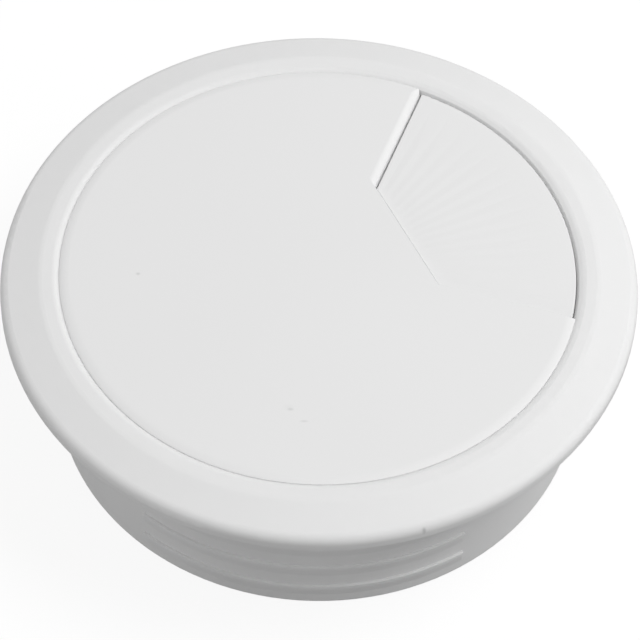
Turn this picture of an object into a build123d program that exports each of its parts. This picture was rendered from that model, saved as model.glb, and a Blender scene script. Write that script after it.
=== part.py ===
from build123d import *
import os
from math import acos, atan, atan2, cos, degrees, hypot, pi, radians, sin, tan

os.makedirs("parts", exist_ok=True)

# A round cable outlet for a hole in a desk top. All sizes are in millimetres.
# Frame: the origin is on the sleeve's axis in the plane of the desk top,
# +Z is up and +X runs through the middle of the cable outlet.

# The hole in the desk and the liner that fits it
hole_diameter = 60.0
hole_clearance = 0.15  # radial, hole wall to rib crest
flange_overhang = 5.0  # how far the flange covers the desk round the hole
flange_height = 3.0
rim_drop = 1.2  # fall of the sloping top from its flat band to the rim
rim_radius = 1.25
rim_lower_radius = 0.2
slope_blend_radius = 2.0  # soft bend between the flat band and the slope
band_width = 1.57
sleeve_depth = 18.5
sleeve_wall = 1.15
sleeve_end_radius = 0.4
collar_height = 1.2  # plain land right under the flange
collar_bevel = 0.3
rib_height = 0.3
rib_land = 0.5
rib_ramp = 1.4  # taper under each rib that leads it into the hole
rib_first = 3.7
rib_pitch = 3.75
rib_end_margin = 2.0
rib_groups = 3
rib_arc = 72.0
seat_width = 0.56  # the sloping seat of the lid, measured across
seat_rise = 0.32
seat_edge_radius = 1.0
seat_foot_radius = 0.15
throat_width = 0.25  # the steep flank under the seat, measured across
throat_rise = 0.6
throat_land = 0.05
throat_step = 0.18  # how far the flank's foot stands in from the bore

# The lid, its skirt and the bead that snaps it in
lid_plate = 1.2
lid_seat_gap = 0.03  # measured across, between the seat and the lid's edge
lid_edge_inset = 0.52  # from the seat's upper edge to the lid's edge
lid_edge_drop = 0.225
lid_edge_angle = 20.0
lid_crown_radius = 2.6
lid_nose_radius = 0.06
skirt_gap = 0.2
skirt_wall = 1.2
skirt_length = 6.0
skirt_root_radius = 0.5
skirt_flap_clearance = 0.8
bead_drop = 4.4
bead_width = 1.0
bead_count = 4
bead_spacing = 70.0
bead_arc = 30.0
snap_overlap = 0.15  # how far the beads stand out past the bore
groove_gap = 0.25

# The wedge-shaped outlet in the lid
outlet_inner = 10.65  # axis to the outlet's straight inner edge
outlet_inner_width = 15.3
outlet_angle = 86.0
outlet_edge_radius = 1.0  # on the one side the cables rub against
cut_margin = 1.0  # how far cutting shapes stand out of the material

# The flap that closes the outlet
flap_recess = 0.4  # flap's face below the lid's face
flap_side_gap = 0.2
flap_inner_gap = 0.15
flap_rim_gap = 0.12
flap_rim_flare = 0.15  # the rim wall leans out below, where it swings out less
flap_face = 1.2
flap_wall = 1.2
flap_edge_radius = 0.15
lip_overlap = 0.9  # reach of the stop lips under the lid
lip_thickness = 1.0
stop_gap = 0.1
open_angle = 75.0
fan_flutes = 15
fan_pitch = 5.45  # degrees from flute to flute
fan_fill = 0.92
fan_depth = 0.03
fan_widest = 0.75  # share of a flute's length at which it is widest and deepest
fan_rim_border = 1.5
fan_inner_border = 0.8

# The hinge: a pin through two lugs of the lid and two knuckles of the flap
hinge_setback = 2.05
hinge_drop = 2.2
pin_diameter = 1.6
pin_running_gap = 0.05
pin_hold_gap = 0.01
pin_proud = 0.1
pin_chamfer = 0.2
knuckle_wall = 0.8
knuckle_inset = 1.05
knuckle_end_gap = 0.25
heel_thickness = 0.6
lug_wall = 0.9
lug_thickness = 1.5

# The spring on the pin between the knuckles
wire_diameter = 0.5
spring_bay = 6.4
spring_pin_gap = 0.4
spring_turns = 5
spring_pitch = 0.75
spring_touch_gap = 0.02
spring_lid_reach = 5.1
spring_flap_reach = 5.4

# Radii that follow from the hole
crest_radius = hole_diameter / 2 - hole_clearance
sleeve_radius = crest_radius - rib_height
bore_radius = sleeve_radius - sleeve_wall
rim_outer_radius = hole_diameter / 2 + flange_overhang
throat_radius = bore_radius - throat_step
seat_inner_radius = throat_radius + throat_width
seat_radius = seat_inner_radius + seat_width
seat_slope = seat_rise / seat_width
slope_radius = seat_radius + band_width
bead_radius = bore_radius + snap_overlap
groove_radius = bead_radius + groove_gap
skirt_radius = throat_radius - skirt_gap
flap_radius = throat_radius - flap_rim_gap

# Levels that follow from the flange
seat_foot = flange_height - seat_rise
throat_foot = seat_foot - throat_rise
throat_end = throat_foot - throat_land
lid_top = flange_height
lid_under = lid_top - lid_plate
bead_level = lid_under - bead_drop
flap_top = lid_top - flap_recess
flap_under_face = flap_top - flap_face
lip_top = lid_under - stop_gap
flap_bottom = lip_top - lip_thickness
hinge_x = outlet_inner - hinge_setback
hinge_z = lid_under - hinge_drop

# The wedge's sides meet at this point on the X axis
half_angle = radians(outlet_angle / 2)
apex_x = outlet_inner - outlet_inner_width / 2 / tan(half_angle)
flap_inner = outlet_inner + flap_inner_gap

# Hinge pieces across the flap
knuckle_inner_y = spring_bay / 2
knuckle_outer_y = outlet_inner_width / 2 - knuckle_inset
lug_inner_y = knuckle_outer_y + knuckle_end_gap
lug_outer_y = lug_inner_y + lug_thickness
pin_radius = pin_diameter / 2
knuckle_radius = pin_radius + pin_running_gap + knuckle_wall
lug_radius = pin_radius + lug_wall
coil_radius = pin_radius + spring_pin_gap + wire_diameter / 2


def rounded_outline(corners):
    """A closed face from (x, y, radius) corners."""
    outline = make_face(Polyline([(x, y) for x, y, r in corners], close=True))
    for x, y, r in corners:
        if r > 0:
            corner = outline.vertices().sort_by_distance((x, y, 0))[0]
            outline = fillet(corner, r)
    return outline


def turned(corners):
    """A solid turned about Z from (radius, height, corner radius) points."""
    return revolve(Plane.XZ * rounded_outline(corners), Axis.Z)


def wedge(grow, inner_x):
    """The outlet's plan, its sides moved out by grow."""
    far_x = 2 * rim_outer_radius
    lift = grow / cos(half_angle)
    near_y = (inner_x - apex_x) * tan(half_angle) + lift
    far_y = (far_x - apex_x) * tan(half_angle) + lift
    return make_face(Polyline(
        (inner_x, -near_y), (far_x, -far_y), (far_x, far_y), (inner_x, near_y), close=True))


def slab(face, low, high):
    """A plan face made solid between two levels."""
    return extrude(Pos(0, 0, low) * face, high - low)


def across(face, low_y, high_y):
    """A face drawn in X and Z made solid between two Y levels."""
    return extrude(Plane.XZ.offset(-high_y) * face, high_y - low_y)


def sector(arc, turn, low, high):
    """A slice of the space round Z, arc degrees wide, between two levels."""
    half = radians(arc / 2)
    reach = 2 * rim_outer_radius
    near = (reach * cos(half), -reach * sin(half))
    far = (reach * cos(half), reach * sin(half))
    return Rot(0, 0, turn) * slab(make_face(Polyline((0, 0), near, far, close=True)), low, high)


def sleeve_ribs():
    """Short holding ribs in groups round the sleeve, flat above and ramped below."""
    count = int((sleeve_depth - rib_first - rib_end_margin) / rib_pitch) + 1
    root = sleeve_radius - sleeve_wall / 2
    ribs = []
    for i in range(count):
        top = -rib_first - i * rib_pitch
        foot = top - rib_land - rib_ramp
        ring = turned([
            (root, foot, 0),
            (sleeve_radius, foot, 0),
            (crest_radius, top - rib_land, 0),
            (crest_radius, top, 0),
            (root, top, 0),
        ])
        for k in range(rib_groups):
            ribs.append(ring & sector(rib_arc, k * 360 / rib_groups, foot, top))
    return ribs


def make_liner():
    groove_half = bead_width / 2 + groove_gap
    groove_rise = groove_radius - bore_radius
    liner = turned([
        (bore_radius, -sleeve_depth, 0),
        (sleeve_radius, -sleeve_depth, sleeve_end_radius),
        (sleeve_radius, -collar_height - collar_bevel, 0),
        (crest_radius, -collar_height, 0),
        (crest_radius, 0, 0),
        (rim_outer_radius, 0, rim_lower_radius),
        (rim_outer_radius, flange_height - rim_drop, rim_radius),
        (slope_radius, flange_height, slope_blend_radius),
        (seat_radius, flange_height, seat_edge_radius),
        (seat_inner_radius, seat_foot, seat_foot_radius),
        (throat_radius, throat_foot, 0),
        (throat_radius, throat_end, 0),
        (bore_radius, throat_end - throat_step, 0),
        (bore_radius, bead_level + groove_half + groove_rise, 0),
        (groove_radius, bead_level + groove_half, 0),
        (groove_radius, bead_level - groove_half, 0),
        (bore_radius, bead_level - groove_half - groove_rise, 0),
    ])
    for rib in sleeve_ribs():
        liner = liner + rib
    return liner


def lid_blank():
    """The lid before the outlet is cut: plate, sloping edge and skirt."""
    nose_x = seat_radius - lid_edge_inset
    nose_z = lid_top - (lid_edge_inset - lid_seat_gap) * seat_slope
    crown_x = nose_x - lid_edge_drop / tan(radians(lid_edge_angle))
    skirt_top = nose_z - (nose_x - skirt_radius) * seat_slope
    skirt_inside = skirt_radius - skirt_wall
    return turned([
        (0, lid_under, 0),
        (skirt_inside, lid_under, skirt_root_radius),
        (skirt_inside, lid_under - skirt_length, 0),
        (skirt_radius, lid_under - skirt_length, 0),
        (skirt_radius, skirt_top, 0),
        (nose_x, nose_z, 0),
        (nose_x, lid_top - lid_edge_drop, lid_nose_radius),
        (crown_x, lid_top, lid_crown_radius),
        (0, lid_top, 0),
    ])


def outlet_rounding():
    """Cutter that rounds over one long side of the outlet, as far as its inner edge."""
    r = outlet_edge_radius
    size = r + cut_margin
    corner = Pos((r - cut_margin) / 2, (cut_margin - r) / 2) * Rectangle(size, size)
    corner = corner - Pos(r, -r) * Circle(r)
    reach = 2 * rim_outer_radius
    side = Plane(
        (apex_x, 0, lid_top),
        x_dir=(-sin(half_angle), cos(half_angle), 0), z_dir=(cos(half_angle), sin(half_angle), 0))
    beyond = Pos(outlet_inner + reach / 2, 0, lid_top) * Box(reach, 2 * reach, 2 * size)
    return extrude(side * corner, reach) & beyond


def snap_beads():
    """Short lengths of bead on the skirt, spread over the side away from the outlet."""
    root = skirt_radius - skirt_wall / 2
    crest_half = bead_width / 4
    foot_half = crest_half + bead_radius - skirt_radius
    ring = turned([
        (root, bead_level - foot_half, 0),
        (skirt_radius, bead_level - foot_half, 0),
        (bead_radius, bead_level - crest_half, 0),
        (bead_radius, bead_level + crest_half, 0),
        (skirt_radius, bead_level + foot_half, 0),
        (root, bead_level + foot_half, 0),
    ])
    beads = []
    for i in range(bead_count):
        turn = 180 + (i - (bead_count - 1) / 2) * bead_spacing
        beads.append(ring & sector(bead_arc, turn, bead_level - bead_drop, lid_under))
    return beads


def hinge_lugs():
    """Two lugs under the lid with a hole for the pin."""
    upright = Pos(hinge_x, (hinge_z + lid_under + lid_plate / 2) / 2) * Rectangle(
        2 * lug_radius, lid_under + lid_plate / 2 - hinge_z)
    outline = upright + Pos(hinge_x, hinge_z) * Circle(lug_radius)
    outline = outline - Pos(hinge_x, hinge_z) * Circle(pin_radius + pin_hold_gap)
    return [
        across(outline, lug_inner_y, lug_outer_y),
        across(outline, -lug_outer_y, -lug_inner_y),
    ]


def make_lid():
    lid = lid_blank()
    for bead in snap_beads():
        lid = lid + bead
    lid = lid - slab(wedge(0, outlet_inner), lid_under - 2 * skirt_length, lid_top + cut_margin)
    lid = lid - outlet_rounding()
    way = wedge(lip_overlap + skirt_flap_clearance, outlet_inner)
    lid = lid - slab(way, lid_under - 2 * skirt_length, lid_under)
    for lug in hinge_lugs():
        lid = lid + lug
    return lid


def flap_shell():
    """The wedge with its stop lips, hollow below."""
    rim = turned([
        (0, flap_bottom, 0), (flap_radius + flap_rim_flare, flap_bottom, 0), (flap_radius, flap_top, 0),
        (0, flap_top, 0)])
    island = slab(wedge(-flap_side_gap, flap_inner), flap_bottom, flap_top) & rim
    island = fillet(island.edges().group_by(Axis.Z)[-1], flap_edge_radius)
    lips = slab(wedge(lip_overlap, flap_inner), flap_bottom, lip_top) & rim
    room = wedge(-flap_side_gap - flap_wall, flap_inner + flap_wall) & Circle(flap_radius - flap_wall)
    notch = Pos(flap_inner + flap_wall / 2, 0) * Rectangle(2 * flap_wall, spring_bay)
    hollow = slab(room + notch, flap_bottom - cut_margin, flap_under_face)
    return island + lips - hollow


def knuckle_outline():
    """Side view of one knuckle with its arm and the heel that stops it when open."""
    heel = (lid_under - hinge_z - stop_gap) / sin(radians(open_angle))
    arm_end = flap_inner + flap_wall / 2
    arm = make_face(Polyline(
        (hinge_x, hinge_z + knuckle_radius), (arm_end, lip_top), (arm_end, flap_bottom),
        (hinge_x + knuckle_radius, hinge_z), (hinge_x, hinge_z), close=True))
    stop = Pos(hinge_x - heel / 2, hinge_z - heel_thickness / 2) * Rectangle(heel, heel_thickness)
    return arm + stop + Pos(hinge_x, hinge_z) * Circle(knuckle_radius)


def fan_cutters():
    """Shallow flutes that spread from the point where the wedge's sides meet."""
    half = radians(fan_pitch * fan_fill / 2)
    tip_radius = flap_radius - fan_rim_border
    zone = wedge(-flap_side_gap - flap_edge_radius, flap_inner + fan_inner_border)
    zone = slab(zone, flap_top - cut_margin, flap_top + cut_margin)
    apex = Vector(apex_x, 0, flap_top)
    cutters = []
    for i in range(fan_flutes):
        turn = radians((i - (fan_flutes - 1) / 2) * fan_pitch)
        along = Vector(cos(turn), sin(turn), 0)
        side = Vector(-sin(turn), cos(turn), 0)
        length = (tip_radius ** 2 - (apex_x * sin(turn)) ** 2) ** 0.5 - apex_x * cos(turn)
        tip = apex + along * length
        middle = apex + along * (length * fan_widest)
        spread = side * (length * fan_widest * tan(half))
        ring = [
            middle + spread, middle - Vector(0, 0, fan_depth),
            middle - spread, middle + Vector(0, 0, cut_margin),
        ]
        faces = []
        for a, b in zip(ring, ring[1:] + ring[:1]):
            faces.append(Face(Wire.make_polygon([apex, a, b], close=True)))
            faces.append(Face(Wire.make_polygon([tip, b, a], close=True)))
        cutters.append(Solid(Shell(faces)) & zone)
    return cutters


def make_flap():
    flap = flap_shell()
    knuckle = knuckle_outline()
    flap = flap + across(knuckle, knuckle_inner_y, knuckle_outer_y)
    flap = flap + across(knuckle, -knuckle_outer_y, -knuckle_inner_y)
    hole = Pos(hinge_x, hinge_z) * Circle(pin_radius + pin_running_gap)
    flap = flap - across(hole, -lug_outer_y, lug_outer_y)
    return flap - fan_cutters()


def make_pin():
    reach = lug_outer_y + pin_proud
    pin = across(Pos(hinge_x, hinge_z) * Circle(pin_radius), -reach, reach)
    return chamfer(pin.edges().filter_by(GeomType.CIRCLE), pin_chamfer)


def make_spring():
    """A coil round the pin, one leg under the lid and one under the flap's face."""
    rest = wire_diameter / 2 + spring_touch_gap
    lid_tip = (-spring_lid_reach, lid_under - rest - hinge_z)
    flap_tip = (spring_flap_reach, flap_under_face - rest - hinge_z)
    lid_far = hypot(*lid_tip)
    flap_far = hypot(*flap_tip)
    start = atan2(flap_tip[1], flap_tip[0]) + acos(coil_radius / flap_far)
    end = atan2(lid_tip[1], lid_tip[0]) - acos(coil_radius / lid_far) + 2 * pi * spring_turns
    height = spring_pitch * (end - start) / (2 * pi)
    lead = atan(spring_pitch / (2 * pi * coil_radius))

    def point(angle, level):
        return Vector(coil_radius * cos(angle), coil_radius * sin(angle), level)

    def heading(angle):
        return Vector(-sin(angle) * cos(lead), cos(angle) * cos(lead), sin(lead))

    flap_leg = (flap_far ** 2 - coil_radius ** 2) ** 0.5 / cos(lead)
    lid_leg = (lid_far ** 2 - coil_radius ** 2) ** 0.5 / cos(lead)
    first = point(start, 0)
    last = point(end, height)
    tip = first - heading(start) * flap_leg
    rise = height / spring_turns
    coil = [
        Pos(0, 0, i * rise) * Rot(0, 0, degrees(start + i * (end - start) / spring_turns))
        * Helix(spring_pitch, rise, coil_radius)
        for i in range(spring_turns)
    ]
    path = Wire([Edge.make_line(tip, first)] + [turn.edge() for turn in coil] + [
        Edge.make_line(last, last + heading(end) * lid_leg)])
    section = Plane(tip, z_dir=heading(start)) * Circle(wire_diameter / 2)
    spring = sweep(section, path=path)
    bench = Plane((hinge_x, height / 2, hinge_z), x_dir=(1, 0, 0), z_dir=(0, -1, 0))
    return bench.location * spring


export_step(make_liner(), "parts/liner.step")
export_step(make_lid(), "parts/lid.step")
export_step(make_flap(), "parts/flap.step")
export_step(make_pin(), "parts/hinge_pin.step")
export_step(make_spring(), "parts/flap_spring.step")
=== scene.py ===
# %% [markdown]
# # A desk cable outlet and its portrait
# The real thing is a small white fitting for a hole in a desk: a flanged liner,
# a flush lid that turns in it, and a sprung wedge flap that lets cables out.
# The solids come ready made from the imported model. This lesson gives them their
# finish, makes the closing spring again as a wire, and lights the
# result like the photograph.

# %% Load the imported solids
import math

import bmesh
import bpy
from mathutils import Matrix, Vector


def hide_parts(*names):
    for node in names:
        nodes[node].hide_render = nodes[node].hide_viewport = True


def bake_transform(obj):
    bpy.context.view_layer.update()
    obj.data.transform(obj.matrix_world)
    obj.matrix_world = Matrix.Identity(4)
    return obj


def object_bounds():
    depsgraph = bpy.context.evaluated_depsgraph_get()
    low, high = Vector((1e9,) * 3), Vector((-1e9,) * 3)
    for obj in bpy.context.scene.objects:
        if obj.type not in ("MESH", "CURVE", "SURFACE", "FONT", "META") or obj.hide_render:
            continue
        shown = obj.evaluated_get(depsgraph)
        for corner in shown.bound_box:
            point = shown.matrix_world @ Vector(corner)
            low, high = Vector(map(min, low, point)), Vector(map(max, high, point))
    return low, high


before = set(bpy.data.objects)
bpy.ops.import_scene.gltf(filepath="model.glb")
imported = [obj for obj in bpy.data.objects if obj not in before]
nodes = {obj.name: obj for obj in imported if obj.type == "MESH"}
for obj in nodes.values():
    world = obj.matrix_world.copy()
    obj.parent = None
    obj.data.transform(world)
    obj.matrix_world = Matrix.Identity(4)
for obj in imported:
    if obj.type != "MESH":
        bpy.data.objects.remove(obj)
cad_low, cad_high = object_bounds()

MM = 0.001
print("solids:", ", ".join(sorted(nodes)))

# %% [markdown]
# ## Helpers for materials
# A finish that several pieces share is a node group, built once. These three
# helpers add a node, join two sockets and open an empty group with named
# sockets, so that the finishes below stay short enough to read. A fourth does a
# sum on sockets and plain numbers alike.

# %% Node helpers
def add(tree, kind, **values):
    node = tree.nodes.new(kind)
    for name, value in values.items():
        setattr(node, name, value)
    return node


def join(tree, out_socket, in_socket):
    tree.links.new(out_socket, in_socket)


def open_group(name, inputs, outputs):
    group = bpy.data.node_groups.new(name, "ShaderNodeTree")
    for title, kind, value in inputs:
        socket = group.interface.new_socket(
            name=title, in_out="INPUT", socket_type=kind)
        socket.default_value = value
    for title, kind in outputs:
        group.interface.new_socket(name=title, in_out="OUTPUT", socket_type=kind)
    start = add(group, "NodeGroupInput")
    end = add(group, "NodeGroupOutput")
    return group, start, end


def sum_of(tree, a, b, operation="ADD", clamp=False):
    node = add(tree, "ShaderNodeMath", operation=operation, use_clamp=clamp)
    for socket, value in zip(node.inputs, (a, b)):
        if isinstance(value, (int, float)):
            socket.default_value = value
        else:
            join(tree, value, socket)
    return node.outputs[0]


print("helpers ready")

# %% [markdown]
# ## The moulded skin
# White styrene mouldings are neither glossy nor dead flat. The mould is spark
# eroded, which leaves a grain of about a tenth of a millimetre, and the
# plastic's own flow leaves a very slow change of tone. A bump from fine noise
# gives the first and a wide noise gives the second.

# %% Shared group: moulded skin
FLOAT = "NodeSocketFloat"
COLOUR = "NodeSocketColor"
VECTOR = "NodeSocketVector"

skin, skin_in, skin_out = open_group(
    "moulded_skin",
    [("Grain per metre", FLOAT, 7000.0), ("Flow per metre", FLOAT, 45.0),
     ("Roughness", FLOAT, 0.7), ("Roughness spread", FLOAT, 0.05),
     ("Tone spread", FLOAT, 0.02)],
    [("Tone", FLOAT), ("Roughness", FLOAT), ("Height", FLOAT)])
place = add(skin, "ShaderNodeTexCoord")
grain = add(skin, "ShaderNodeTexNoise", noise_dimensions="3D")
grain.inputs["Detail"].default_value = 3.0
flow = add(skin, "ShaderNodeTexNoise", noise_dimensions="3D")
flow.inputs["Detail"].default_value = 1.0
join(skin, place.outputs["Object"], grain.inputs["Vector"])
join(skin, place.outputs["Object"], flow.inputs["Vector"])
join(skin, skin_in.outputs["Grain per metre"], grain.inputs["Scale"])
join(skin, skin_in.outputs["Flow per metre"], flow.inputs["Scale"])
flow_middle = sum_of(skin, flow.outputs["Fac"], 0.5, "SUBTRACT")
tone_change = sum_of(skin, flow_middle, skin_in.outputs["Tone spread"], "MULTIPLY")
join(skin, sum_of(skin, tone_change, 1.0), skin_out.inputs["Tone"])
grain_middle = sum_of(skin, grain.outputs["Fac"], 0.5, "SUBTRACT")
rough_change = sum_of(skin, grain_middle, skin_in.outputs["Roughness spread"], "MULTIPLY")
roughness = sum_of(skin, rough_change, skin_in.outputs["Roughness"])
join(skin, roughness, skin_out.inputs["Roughness"])
join(skin, grain.outputs["Fac"], skin_out.inputs["Height"])
print("group moulded_skin:", len(skin.nodes), "nodes")

# %% [markdown]
# ## Small marks
# The photographed lid has a few tiny dents and scuffs, and the flange a nick at
# its lower edge, whose shade is painted as a darker spot. Each is a soft mask
# about a point of the piece. The scuffs run one way, so the distance to the
# point is shortened along a heading before it is compared with the radius, and
# one group serves round and long marks alike.

# %% Shared group: one small mark
mark, mark_in, mark_out = open_group(
    "small_mark",
    [("Place", VECTOR, (0, 0, 0)), ("Heading", VECTOR, (1, 0, 0)),
     ("Radius", FLOAT, 0.3 * MM), ("Shortening", FLOAT, 0.0)],
    [("Mask", FLOAT)])
place = add(mark, "ShaderNodeTexCoord")
offset = add(mark, "ShaderNodeVectorMath", operation="SUBTRACT")
along = add(mark, "ShaderNodeVectorMath", operation="DOT_PRODUCT")
saved = add(mark, "ShaderNodeVectorMath", operation="SCALE")
rest = add(mark, "ShaderNodeVectorMath", operation="SUBTRACT")
reach = add(mark, "ShaderNodeVectorMath", operation="LENGTH")
join(mark, place.outputs["Object"], offset.inputs[0])
join(mark, mark_in.outputs["Place"], offset.inputs[1])
join(mark, offset.outputs["Vector"], along.inputs[0])
join(mark, mark_in.outputs["Heading"], along.inputs[1])
join(mark, mark_in.outputs["Heading"], saved.inputs[0])
shorter = sum_of(mark, along.outputs["Value"], mark_in.outputs["Shortening"], "MULTIPLY")
join(mark, shorter, saved.inputs["Scale"])
join(mark, offset.outputs["Vector"], rest.inputs[0])
join(mark, saved.outputs["Vector"], rest.inputs[1])
join(mark, rest.outputs["Vector"], reach.inputs[0])
share = sum_of(mark, reach.outputs["Value"], mark_in.outputs["Radius"], "DIVIDE")
edge = add(mark, "ShaderNodeMapRange", interpolation_type="SMOOTHSTEP")
edge.inputs["From Min"].default_value = 1.0
edge.inputs["From Max"].default_value = 0.0
join(mark, share, edge.inputs["Value"])
join(mark, edge.outputs["Result"], mark_out.inputs["Mask"])
print("group small_mark:", len(mark.nodes), "nodes")

# %% [markdown]
# ## White mouldings
# All three mouldings are the same white, so one function makes the material and
# takes the places of the marks. The base colour is tinted down by the tone of
# the skin and a little more inside each mark, and the bump is lowered there.
# Inside the flange's nick that extra darkness is painted shade.
# Light goes a little way into white plastic and comes out again, which softens
# the ledges of the liner's ribs. Lid and flap are thin plates over a dark hole,
# where the same setting would only dirty the seams, so they go without.

# %% Materials for liner, lid and flap
WHITE = (0.83, 0.83, 0.83, 1.0)
PLASTIC_IOR = 1.5
GRAIN_STRENGTH = 0.12
GRAIN_DEPTH = 0.02 * MM
MARK_DEPTH = 4.0
LIGHT_SPREAD = 0.5 * MM
SIDEWAYS = (0.889, -0.459, 0.0)
UPWARDS = (0.0, 0.0, 1.0)


def white_moulding(name, roughness, depth, marks):
    material = bpy.data.materials.new(name)
    material.use_nodes = True
    tree = material.node_tree
    shader = tree.nodes["Principled BSDF"]
    surface = add(tree, "ShaderNodeGroup", node_tree=skin)
    surface.inputs["Roughness"].default_value = roughness
    tone = surface.outputs["Tone"]
    height = surface.outputs["Height"]
    for x, y, z, radius, heading, stretch, shade in marks:
        spot = add(tree, "ShaderNodeGroup", node_tree=mark)
        spot.inputs["Place"].default_value = (x * MM, y * MM, z * MM)
        spot.inputs["Heading"].default_value = heading
        spot.inputs["Radius"].default_value = radius * MM
        spot.inputs["Shortening"].default_value = 1.0 - 1.0 / stretch
        # Inside the flange's nick this darker tint is painted shade.
        darker = sum_of(tree, spot.outputs["Mask"], shade, "MULTIPLY")
        deeper = sum_of(tree, spot.outputs["Mask"], MARK_DEPTH, "MULTIPLY")
        tone = sum_of(tree, tone, darker, "SUBTRACT")
        height = sum_of(tree, height, deeper, "SUBTRACT")
    tint = add(tree, "ShaderNodeMix", data_type="RGBA", blend_type="MULTIPLY")
    tint.inputs["Factor"].default_value = 1.0
    tint.inputs["A"].default_value = WHITE
    join(tree, tone, tint.inputs["B"])
    join(tree, tint.outputs["Result"], shader.inputs["Base Color"])
    join(tree, surface.outputs["Roughness"], shader.inputs["Roughness"])
    bump = add(tree, "ShaderNodeBump")
    bump.inputs["Strength"].default_value = GRAIN_STRENGTH
    bump.inputs["Distance"].default_value = GRAIN_DEPTH
    join(tree, height, bump.inputs["Height"])
    join(tree, bump.outputs["Normal"], shader.inputs["Normal"])
    shader.inputs["IOR"].default_value = PLASTIC_IOR
    shader.inputs["Subsurface Weight"].default_value = depth
    shader.inputs["Subsurface Radius"].default_value = (1.0, 1.0, 1.0)
    shader.inputs["Subsurface Scale"].default_value = LIGHT_SPREAD
    return material


# Each mark: x, y, z and radius in millimetres, heading, stretch, shade.
LID_FACE = 3.0
lid_marks = [
    (-18.22, 7.89, LID_FACE, 0.28, SIDEWAYS, 1.3, 0.2),
    (-11.19, -15.67, LID_FACE, 0.3, SIDEWAYS, 1.7, 0.14),
    (-11.28, -15.3, LID_FACE, 0.6, SIDEWAYS, 1.4, 0.03),
    (-10.58, -17.68, LID_FACE, 0.2, SIDEWAYS, 3.2, 0.14)]
# The flange's nick: a slight sunken bump, and a darker spot of painted shade where the notch
# would hold shadow.
rim_nick_painted_shade = [(-4.92, -34.57, 1.3, 0.34, UPWARDS, 2.6, 0.3)]


def wear(node, material):
    mesh = nodes[node].data
    mesh.materials.clear()
    mesh.materials.append(material)


wear("liner", white_moulding("white_liner", roughness=0.7, depth=0.6, marks=rim_nick_painted_shade))
wear("lid", white_moulding("white_lid", roughness=0.72, depth=0.0, marks=lid_marks))
wear("flap", white_moulding("white_flap", roughness=0.7, depth=0.0, marks=[]))
print("white on liner, lid and flap;", len(lid_marks) + len(rim_nick_painted_shade), "small marks")

# %% [markdown]
# ## Drawn steel
# The hinge pin and the spring wire are drawn through a die, which leaves fine
# lines along them. The pin lies along Y, so noise squeezed along Y gives those
# lines; on the spring the same noise reads as a fine mottle.

# %% Material for pin and spring
def drawn_steel(name, lines):
    material = bpy.data.materials.new(name)
    material.use_nodes = True
    tree = material.node_tree
    shader = tree.nodes["Principled BSDF"]
    place = add(tree, "ShaderNodeTexCoord")
    squeeze = add(tree, "ShaderNodeMapping")
    squeeze.inputs["Scale"].default_value = lines
    noise = add(tree, "ShaderNodeTexNoise")
    noise.inputs["Scale"].default_value = 6000.0
    ramp = add(tree, "ShaderNodeValToRGB")
    ramp.color_ramp.elements[0].color = (0.46, 0.47, 0.49, 1)
    ramp.color_ramp.elements[1].color = (0.66, 0.67, 0.69, 1)
    rough = add(tree, "ShaderNodeMapRange")
    rough.inputs["To Min"].default_value = 0.24
    rough.inputs["To Max"].default_value = 0.38
    join(tree, place.outputs["Object"], squeeze.inputs["Vector"])
    join(tree, squeeze.outputs["Vector"], noise.inputs["Vector"])
    join(tree, noise.outputs["Fac"], ramp.inputs["Fac"])
    join(tree, noise.outputs["Fac"], rough.inputs["Value"])
    join(tree, ramp.outputs["Color"], shader.inputs["Base Color"])
    join(tree, rough.outputs["Result"], shader.inputs["Roughness"])
    shader.inputs["Metallic"].default_value = 1.0
    return material


steel_pin = drawn_steel("steel_pin", (1.0, 0.04, 1.0))
steel_wire = drawn_steel("steel_wire", (1.0, 1.0, 1.0))
wear("hinge_pin", steel_pin)
print("steel on hinge_pin")

# %% [markdown]
# ## The closing spring
# A torsion spring winds up when the flap is pushed down: its lid leg stays, its
# flap leg swings, and every turn between them takes a share. The spring's CAD
# solid is hidden and the wire is made again here. A small circle is spun
# round the hinge line while it creeps along it, which draws the coil, and its
# two ends are then extruded into straight legs.

# %% Spring wire
HINGE = Vector((8.6, 0.0, -0.4)) * MM
WIRE = 0.25 * MM
COIL = 1.45 * MM
LEAD = 0.75 * MM
TURNS = 5
STEPS_PER_TURN = 36
REST = WIRE + 0.02 * MM
TIP_ROUNDING = 0.08 * MM
flap_tip = Vector((5.4 * MM, 0, 1.4 * MM - REST - HINGE.z))
lid_tip = Vector((-5.1 * MM, 0, 1.8 * MM - REST - HINGE.z))


def tangent_angle(tip, side):
    return math.atan2(tip.z, tip.x) + side * math.acos(COIL / tip.length)


first = tangent_angle(flap_tip, 1)
last = tangent_angle(lid_tip, -1) + 2 * math.pi * TURNS
length = LEAD * (last - first) / (2 * math.pi)
slope = math.atan(LEAD / (2 * math.pi * COIL))


def on_coil(angle, y):
    return HINGE + Vector((COIL * math.cos(angle), y, COIL * math.sin(angle)))


def heading(angle):
    flat = math.cos(slope)
    return Vector((-math.sin(angle) * flat, -math.sin(slope), math.cos(angle) * flat))


bm = bmesh.new()
ring = bmesh.ops.create_circle(bm, cap_ends=False, segments=14, radius=WIRE)["verts"]
facing = heading(first).to_track_quat("Z", "Y").to_matrix().to_4x4()
start = Matrix.Translation(on_coil(first, length / 2)) @ facing
bmesh.ops.transform(bm, matrix=start, verts=ring)
start_edges = list(bm.edges)
steps = STEPS_PER_TURN * TURNS
spun = bmesh.ops.spin(
    bm, geom=start_edges, cent=HINGE, axis=(0, -1, 0), dvec=(0, -length / steps, 0),
    angle=last - first, steps=steps, use_merge=False)
end_edges = [e for e in spun["geom_last"] if isinstance(e, bmesh.types.BMEdge)]


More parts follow.
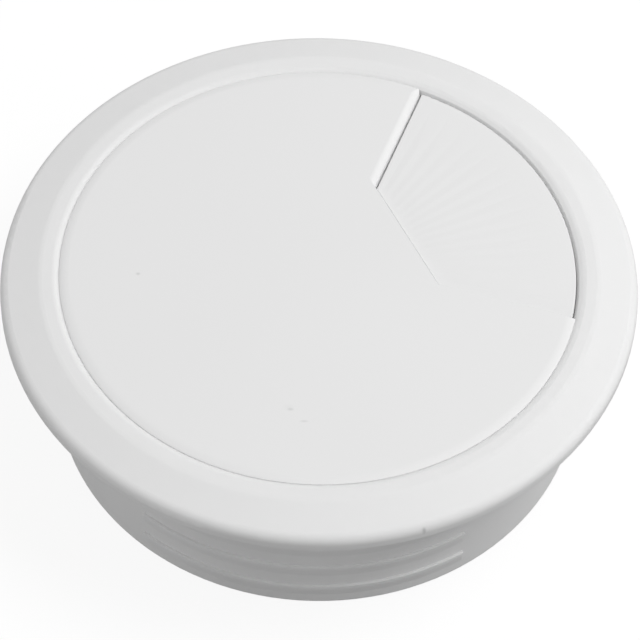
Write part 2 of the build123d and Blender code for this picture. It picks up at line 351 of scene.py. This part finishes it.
def draw_leg(end, way, reach):
    made = bmesh.ops.extrude_edge_only(bm, edges=end)["geom"]
    tip = [v for v in made if isinstance(v, bmesh.types.BMVert)]
    bmesh.ops.translate(bm, verts=tip, vec=way * reach)
    edges = [e for e in made if isinstance(e, bmesh.types.BMEdge)]
    rim = [e for e in edges if all(v in tip for v in e.verts)]
    bmesh.ops.contextual_create(bm, geom=rim)
    bmesh.ops.bevel(
        bm, geom=rim, offset=TIP_ROUNDING, affect="EDGES", segments=2, profile=0.5, material=-1)


flat = math.cos(slope)
draw_leg(start_edges, -heading(first), math.sqrt(flap_tip.length ** 2 - COIL ** 2) / flat)
draw_leg(end_edges, heading(last), math.sqrt(lid_tip.length ** 2 - COIL ** 2) / flat)
bmesh.ops.remove_doubles(bm, verts=bm.verts, dist=0.001 * MM)
bmesh.ops.recalc_face_normals(bm, faces=bm.faces)
for face in bm.faces:
    face.smooth = len(face.verts) == 4
mesh = bpy.data.meshes.new("closing_spring")
bm.to_mesh(mesh)
bm.free()
spring = bpy.data.objects.new("closing_spring", mesh)
bpy.context.scene.collection.objects.link(spring)
mesh.materials.append(steel_wire)
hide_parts("flap_spring")
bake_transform(spring)
print("spring:", len(mesh.polygons), "faces, coil", round(length / MM, 2), "mm long")

# %% [markdown]
# ## Floor and backdrop
# The photograph is a cut-out on pure white. The floor shows white to the camera
# and to mirrors and keeps a faint shadow. To the object it is a grey sheet with a
# weak glow, like a light table turned low: the shaded sleeve in the photograph is
# no darker at its foot than under the rim, and a plain floor would make it so.
# From below the floor is clear, so that the underside can be looked at too.

# %% Floor
FLOOR_GAP = 0.05 * MM
FLOOR_HALF = 3.0
low = cad_low.z - FLOOR_GAP
bm = bmesh.new()
bmesh.ops.create_grid(bm, x_segments=1, y_segments=1, size=FLOOR_HALF)
bmesh.ops.translate(bm, verts=bm.verts, vec=(0, 0, low))
mesh = bpy.data.meshes.new("floor")
bm.to_mesh(mesh)
bm.free()
floor = bpy.data.objects.new("floor", mesh)
bpy.context.scene.collection.objects.link(floor)

paper = bpy.data.materials.new("floor_paper")
paper.use_nodes = True
tree = paper.node_tree
tree.nodes.clear()
seen = add(tree, "ShaderNodeLightPath")
glow = add(tree, "ShaderNodeEmission")
glow.inputs["Strength"].default_value = 1.04
matt = add(tree, "ShaderNodeBsdfDiffuse")
matt.inputs["Color"].default_value = (0.2, 0.2, 0.2, 1)
table = add(tree, "ShaderNodeEmission")
table.inputs["Strength"].default_value = 0.055
under = add(tree, "ShaderNodeAddShader")
pale = add(tree, "ShaderNodeBsdfDiffuse")
pale.inputs["Color"].default_value = (0.9, 0.9, 0.9, 1)
soft = add(tree, "ShaderNodeMixShader")
soft.inputs["Fac"].default_value = 0.15
choose = add(tree, "ShaderNodeMixShader")
facing = add(tree, "ShaderNodeNewGeometry")
clear = add(tree, "ShaderNodeBsdfTransparent")
one_sided = add(tree, "ShaderNodeMixShader")
out = add(tree, "ShaderNodeOutputMaterial")
direct = sum_of(tree, seen.outputs["Is Camera Ray"], seen.outputs["Is Glossy Ray"], clamp=True)
direct = sum_of(tree, direct, seen.outputs["Is Transmission Ray"], clamp=True)
join(tree, glow.outputs[0], soft.inputs[1])
join(tree, pale.outputs[0], soft.inputs[2])
join(tree, direct, choose.inputs["Fac"])
join(tree, matt.outputs[0], under.inputs[0])
join(tree, table.outputs[0], under.inputs[1])
join(tree, under.outputs[0], choose.inputs[1])
join(tree, soft.outputs[0], choose.inputs[2])
join(tree, facing.outputs["Backfacing"], one_sided.inputs["Fac"])
join(tree, choose.outputs[0], one_sided.inputs[1])
join(tree, clear.outputs[0], one_sided.inputs[2])
join(tree, one_sided.outputs[0], out.inputs["Surface"])
mesh.materials.append(paper)
print("floor at", round(low / MM, 2), "mm")

# %% [markdown]
# ## Light
# The lid is evenly bright, the slope of the flange is lighter on the right than
# on the left, and the sleeve is in shade, with light on the ledges of its ribs
# only at the right. So one wide lamp hangs above and to the right, two weak ones
# stand low at the sides, and the world fills the rest.

# %% Lamps and world
OUTLET_TURN = math.radians(27.3)


def lamp(name, side, rise, distance, size, watts):
    angle = math.radians(side) - OUTLET_TURN
    up = math.radians(rise)
    way = Vector((math.cos(angle) * math.cos(up), math.sin(angle) * math.cos(up), math.sin(up)))
    data = bpy.data.lights.new(name, "AREA")
    data.shape = "DISK"
    data.size = size
    data.energy = watts
    lit = bpy.data.objects.new(name, data)
    bpy.context.scene.collection.objects.link(lit)
    lit.location = way * distance
    lit.rotation_mode = "QUATERNION"
    lit.rotation_quaternion = way.to_track_quat("Z", "Y")


lamp("wide_top", side=2.0, rise=59.0, distance=0.7, size=0.45, watts=2.76)
lamp("low_right", side=-13.0, rise=18.0, distance=0.6, size=0.1, watts=0.36)
lamp("low_left", side=198.0, rise=6.0, distance=0.6, size=0.1, watts=0.4)

world = bpy.data.worlds.new("studio")
bpy.context.scene.world = world
world.use_nodes = True
tree = world.node_tree
tree.nodes.clear()
seen = add(tree, "ShaderNodeLightPath")
fill = add(tree, "ShaderNodeBackground")
fill.inputs["Color"].default_value = (1, 1, 1, 1)
fill.inputs["Strength"].default_value = 0.455
white = add(tree, "ShaderNodeBackground")
white.inputs["Color"].default_value = (1, 1, 1, 1)
choose = add(tree, "ShaderNodeMixShader")
out = add(tree, "ShaderNodeOutputWorld")
join(tree, seen.outputs["Is Camera Ray"], choose.inputs["Fac"])
join(tree, fill.outputs[0], choose.inputs[1])
join(tree, white.outputs[0], choose.inputs[2])
join(tree, choose.outputs[0], out.inputs["Surface"])
print("three lamps and a world")

# %% [markdown]
# ## Camera
# The photograph was taken from a little over half height with a long lens, and
# is turned by just over a degree. The distance, height and turn below come from
# fitting the ellipses of the flange and lid. LIFT brings that fit's level to the
# origin of the solids, and OUTLET_TURN its right-hand side to the outlet.

# %% Camera
LENS_PIXELS = 3501.0
FRAME_PIXELS = 640.0
SENSOR = 36.0
DISTANCE = 384.8 * MM
HEIGHT = 52.35
ROLL = 0.0228
AIM_RIGHT = 0.17 * MM
AIM_HEIGHT = -7.29 * MM
BACK = math.radians(-90.0) - OUTLET_TURN
LIFT = 0.844 * MM

rise = math.radians(HEIGHT)
eye = Vector((
    DISTANCE * math.cos(rise) * math.cos(BACK),
    DISTANCE * math.cos(rise) * math.sin(BACK),
    DISTANCE * math.sin(rise) + LIFT))
aim = Vector((
    AIM_RIGHT * math.cos(-OUTLET_TURN), AIM_RIGHT * math.sin(-OUTLET_TURN), AIM_HEIGHT + LIFT))
ahead = (aim - eye).normalized()
right = ahead.cross(Vector((0, 0, 1))).normalized()
up = right.cross(ahead)
right, up = (
    right * math.cos(ROLL) + up * math.sin(ROLL),
    up * math.cos(ROLL) - right * math.sin(ROLL))
camera_data = bpy.data.cameras.new("camera")
camera_data.sensor_width = SENSOR
camera_data.lens = LENS_PIXELS * SENSOR / FRAME_PIXELS
camera_data.clip_start = 0.01
camera = bpy.data.objects.new("camera", camera_data)
bpy.context.scene.collection.objects.link(camera)
axes = Matrix((right, up, -ahead)).transposed().to_4x4()
camera.matrix_world = Matrix.Translation(eye) @ axes
bpy.context.scene.camera = camera
bpy.context.scene.view_settings.view_transform = "Standard"
print("lens", round(camera_data.lens, 1), "mm")
